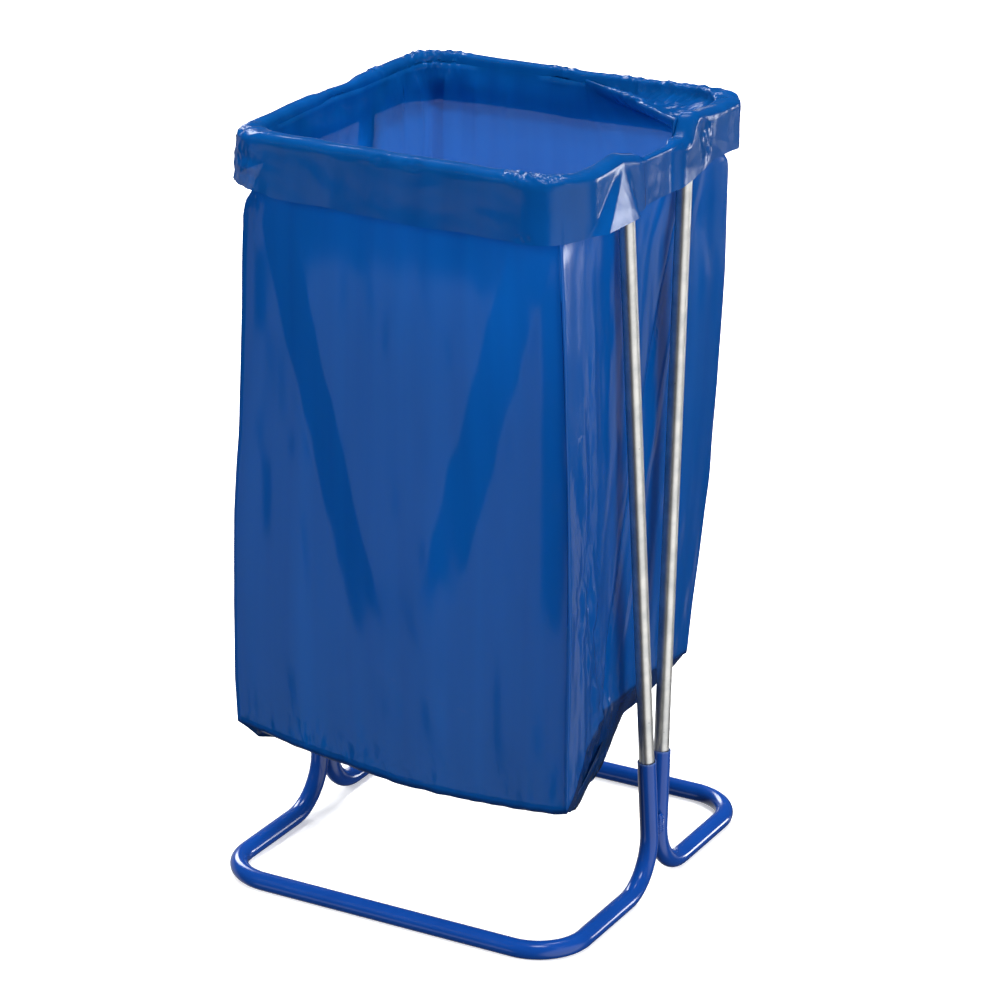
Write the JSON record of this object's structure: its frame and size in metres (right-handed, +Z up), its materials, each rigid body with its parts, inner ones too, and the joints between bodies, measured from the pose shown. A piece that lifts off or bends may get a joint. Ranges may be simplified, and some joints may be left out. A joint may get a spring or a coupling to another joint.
{
  "type": "plastic bag holder",
  "caption": "Free-standing tube stand holding an open plastic sack by its mouth, folded out over outward-leaning rails above a low base of back-to-back loops.",
  "frame": {"origin": "on the floor, under the middle of the stand", "axes": "+Z up, -Y towards the front long bar, +X to the right of someone facing the front"},
  "size_m": [0.4742, 0.4966, 0.9108],
  "materials": {
    "blue_coating": "gloss",
    "zinc_plated_steel": "bright zinc plating",
    "blue_film": "semi-translucent film"
  },
  "bodies": {
    "stand": {"front_base_loop": "blue_coating", "rear_base_loop": "blue_coating", "left_leg_weld": "blue_coating", "right_leg_weld": "blue_coating", "front_upper_frame": "zinc_plated_steel", "rear_upper_frame": "zinc_plated_steel"},
    "sack": {"plastic_sack": "blue_film"}
  },
  "joints": [
    {"name": "sack_lift", "type": "slide", "parent": "stand", "child": "sack", "axis": [0, 0, 1], "range_m": [0, 0.78]}
  ]
}
